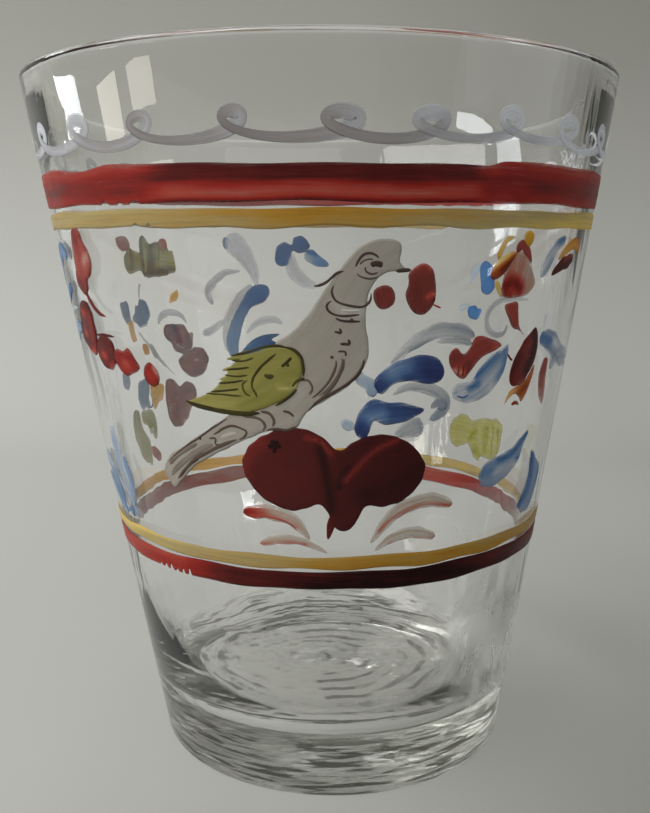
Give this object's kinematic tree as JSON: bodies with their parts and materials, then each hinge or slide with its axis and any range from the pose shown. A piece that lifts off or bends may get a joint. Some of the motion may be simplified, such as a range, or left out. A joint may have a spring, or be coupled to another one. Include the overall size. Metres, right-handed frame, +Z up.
{
  "type": "enamelled tumbler",
  "caption": "Hand-blown conical glass tumbler with a thick base and a fired-enamel frieze of a bird on a heart between sprays, painted bands and a looped scroll.",
  "frame": {"origin": "on the table, under the centre of the rim", "axes": "+Z up along the glass, -Y is the front with the bird, +X is the viewer's right when facing the bird"},
  "size_m": [0.08, 0.08, 0.0924],
  "materials": {
    "clear_glass": "clear, faintly grey-green, fire polished, with small bubbles",
    "red_enamel": "fired enamel, glossy, streaked by the brush",
    "maroon_enamel": "fired enamel, thick and glossy",
    "yellow_enamel": "fired enamel, thin and semi-opaque",
    "orange_enamel": "fired enamel, glossy, yellow at the edges",
    "white_enamel": "fired enamel, thin and milky",
    "grey_enamel": "fired enamel, satin, drawn over with fine brown lines",
    "blue_enamel": "fired enamel, glossy, shaded into white",
    "pale_blue_enamel": "fired enamel, blue brushed into white",
    "olive_enamel": "fired enamel, satin",
    "mauve_enamel": "fired enamel, dull red seen through the glass",
    "pink_enamel": "fired enamel, thin red brushed into white"
  },
  "bodies": {
    "root": {"glass_body": "clear_glass", "berry_large": "red_enamel", "berry_small": "red_enamel", "bird_body": "grey_enamel", "bird_wing": "olive_enamel", "blue_dab_high": "blue_enamel", "blue_dab_left": "blue_enamel", "blue_dab_low": "blue_enamel", "blue_feather_lower": "blue_enamel", "blue_feather_upper": "blue_enamel", "blue_hook_leaf": "blue_enamel", "blue_leaf_far_left": "pale_blue_enamel", "blue_leaf_far_right": "pale_blue_enamel", "blue_leaf_left": "pale_blue_enamel", "blue_leaf_low_left": "pale_blue_enamel", "blue_leaf_low_right": "pale_blue_enamel", "blue_leaf_right": "pale_blue_enamel", "blue_s_leaf": "blue_enamel", "blue_short_leaf": "blue_enamel", "dull_red_leaf": "mauve_enamel", "grey_feather_lower": "grey_enamel", "grey_feather_middle": "grey_enamel", "grey_feather_upper": "grey_enamel", "heart": "maroon_enamel", "heart_leaf_lower_left": "pink_enamel", "heart_leaf_lower_right": "pink_enamel", "heart_leaf_upper_left": "red_enamel", "heart_leaf_upper_right": "grey_enamel", "lower_red_band": "red_enamel", "lower_yellow_band": "yellow_enamel", "maroon_leaf": "maroon_enamel", "maroon_leaf_tail": "orange_enamel", "mauve_berry": "mauve_enamel", "mauve_flower": "mauve_enamel", "mauve_flower_cap": "white_enamel", "mauve_leaf": "mauve_enamel", "mauve_petal_right": "mauve_enamel", "olive_leaf_high": "olive_enamel", "olive_leaf_high_stem": "grey_enamel", "olive_leaf_low": "olive_enamel", "orange_leaf": "orange_enamel", "pale_leaf_high": "pale_blue_enamel", "red_berries": "red_enamel", "red_berry_end": "red_enamel", "red_dot_left": "red_enamel", "red_dot_right": "red_enamel", "red_flower": "red_enamel", "slate_leaf": "pale_blue_enamel", "tulip": "pink_enamel", "tulip_curl": "grey_enamel", "tulip_left_petal": "orange_enamel", "tulip_right_petal": "yellow_enamel", "tulip_tip": "red_enamel", "upper_red_band": "red_enamel", "upper_yellow_band": "yellow_enamel", "white_curl_leaf": "white_enamel", "white_hook_leaf": "white_enamel", "white_scroll": "white_enamel", "white_short_leaf": "white_enamel", "yellow_dab": "yellow_enamel"}
  },
  "joints": []
}
